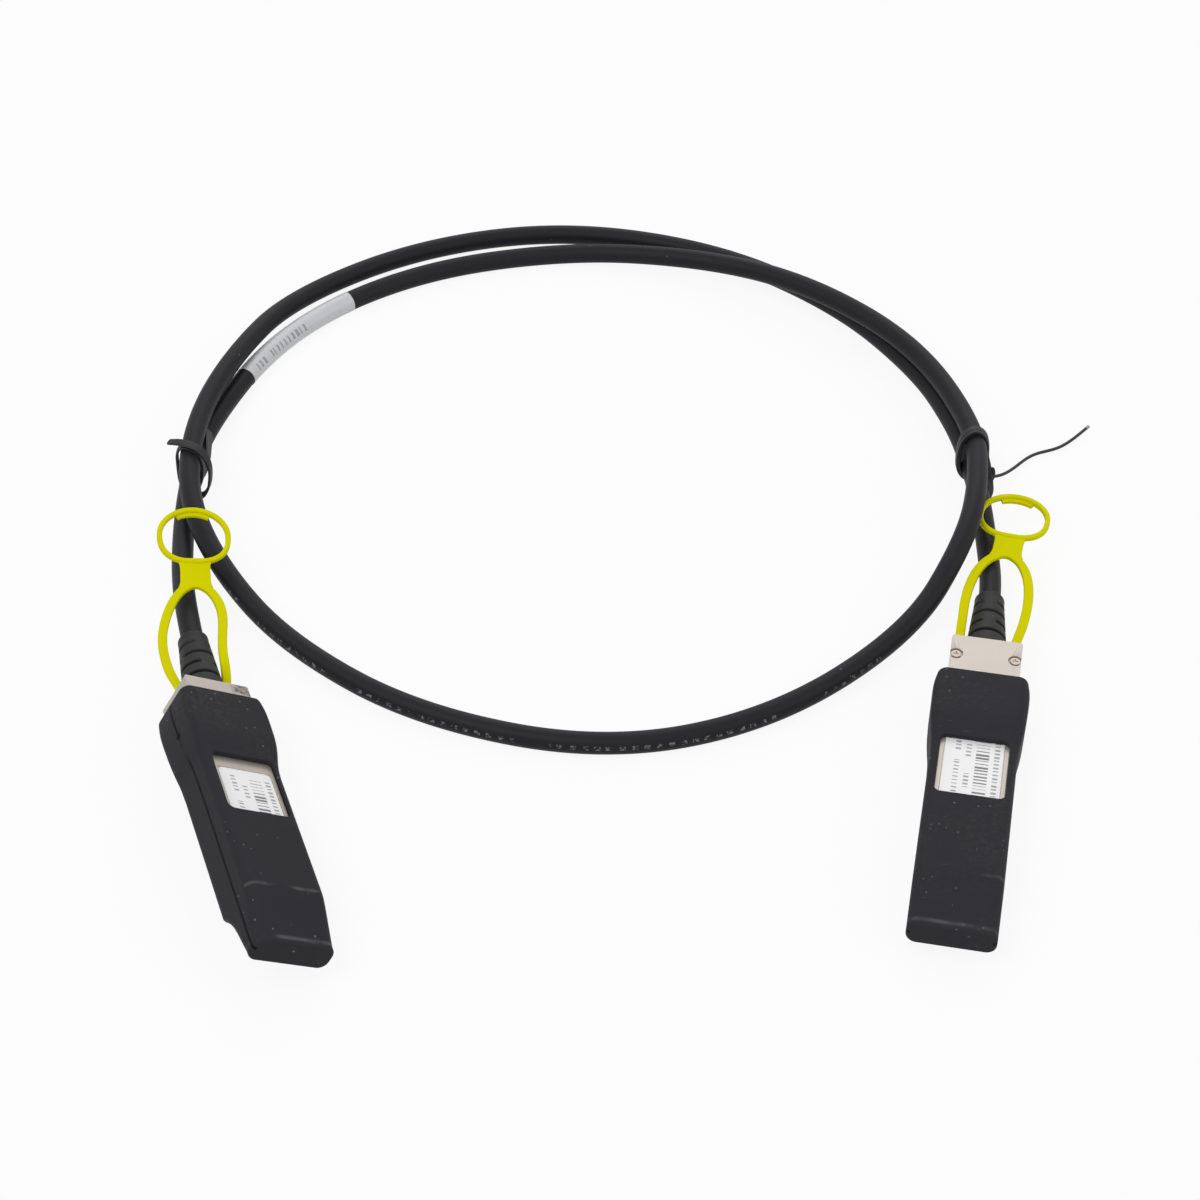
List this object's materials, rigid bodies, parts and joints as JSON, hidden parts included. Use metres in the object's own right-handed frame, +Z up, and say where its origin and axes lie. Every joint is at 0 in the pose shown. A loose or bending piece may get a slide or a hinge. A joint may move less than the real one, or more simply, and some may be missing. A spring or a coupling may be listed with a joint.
{
  "type": "direct attach copper cable",
  "caption": "Coiled twinaxial cable with a pluggable metal connector, pull-tab release and rubber dust cap at each end, held by wire ties.",
  "frame": {"origin": "on the floor plane, under the middle of the box round both connectors", "axes": "+X from the left connector to the right one, +Y from the connectors' noses towards the back of the cable loop, +Z up"},
  "size_m": [0.2025, 0.2253, 0.0187],
  "materials": {
    "cast_shell": "satin nickel-plated die-cast",
    "screw_steel": "plated, cross drive",
    "label_film": null,
    "spring_sheet": "stamped sheet",
    "board_green": "solder mask",
    "contact_gold": "gold plated",
    "chip_black": "moulded epoxy",
    "capacitor_tan": "ceramic",
    "wire_insulation": "extruded insulation",
    "ferrule_metal": "tinned",
    "cable_sheath": "matt extruded jacket",
    "boot_rubber": "matt moulded",
    "tab_yellow": "soft moulded, satin",
    "slider_steel": "stamped spring steel",
    "spring_steel": "spring steel",
    "cap_rubber": "matt moulded with dust",
    "wrap_film": null,
    "tie_plastic": "plastic-coated wire"
  },
  "bodies": {
    "root": {"left_lower_housing": "cast_shell", "left_top_cover": "cast_shell", "left_cover_screws": "screw_steel", "left_product_label": "label_film", "left_shield_collar": "spring_sheet", "left_circuit_board": "board_green", "left_edge_contacts": "contact_gold", "left_memory_chip": "chip_black", "left_coupling_capacitors": "capacitor_tan", "left_wire_leads": "wire_insulation", "left_crimp_ferrule": "ferrule_metal", "left_jacket_end": "cable_sheath", "left_strain_relief": "boot_rubber", "left_return_spring": "spring_steel", "right_lower_housing": "cast_shell", "right_top_cover": "cast_shell", "right_cover_screws": "screw_steel", "right_product_label": "label_film", "right_shield_collar": "spring_sheet", "right_circuit_board": "board_green", "right_edge_contacts": "contact_gold", "right_memory_chip": "chip_black", "right_coupling_capacitors": "capacitor_tan", "right_wire_leads": "wire_insulation", "right_crimp_ferrule": "ferrule_metal", "right_jacket_end": "cable_sheath", "right_strain_relief": "boot_rubber", "right_return_spring": "spring_steel", "cable_jacket": "cable_sheath", "cable_wrap_label": "wrap_film", "left_wire_tie": "tie_plastic", "right_wire_tie": "tie_plastic"},
    "left_release": {"left_pull_tab": "tab_yellow", "left_release_slider": "slider_steel"},
    "left_cap": {"left_dust_cap": "cap_rubber"},
    "right_release": {"right_pull_tab": "tab_yellow", "right_release_slider": "slider_steel"},
    "right_cap": {"right_dust_cap": "cap_rubber"}
  },
  "joints": [
    {"name": "left_release_slide", "type": "slide", "parent": "root", "child": "left_release", "axis": [-0.3355, 0.9421, 0], "range_m": [0, 0.0028], "stiffness_N_per_m": 300, "springref_m": -0.001, "deforming": ["left_return_spring"]},
    {"name": "left_cap_slide", "type": "slide", "parent": "root", "child": "left_cap", "axis": [0.3355, -0.9421, 0], "range_m": [0, 0.06]},
    {"name": "right_release_slide", "type": "slide", "parent": "root", "child": "right_release", "axis": [0.1891, 0.982, 0], "range_m": [0, 0.0028], "stiffness_N_per_m": 300, "springref_m": -0.001, "deforming": ["right_return_spring"]},
    {"name": "right_cap_slide", "type": "slide", "parent": "root", "child": "right_cap", "axis": [-0.1891, -0.982, 0], "range_m": [-0.006, 0.054]}
  ]
}
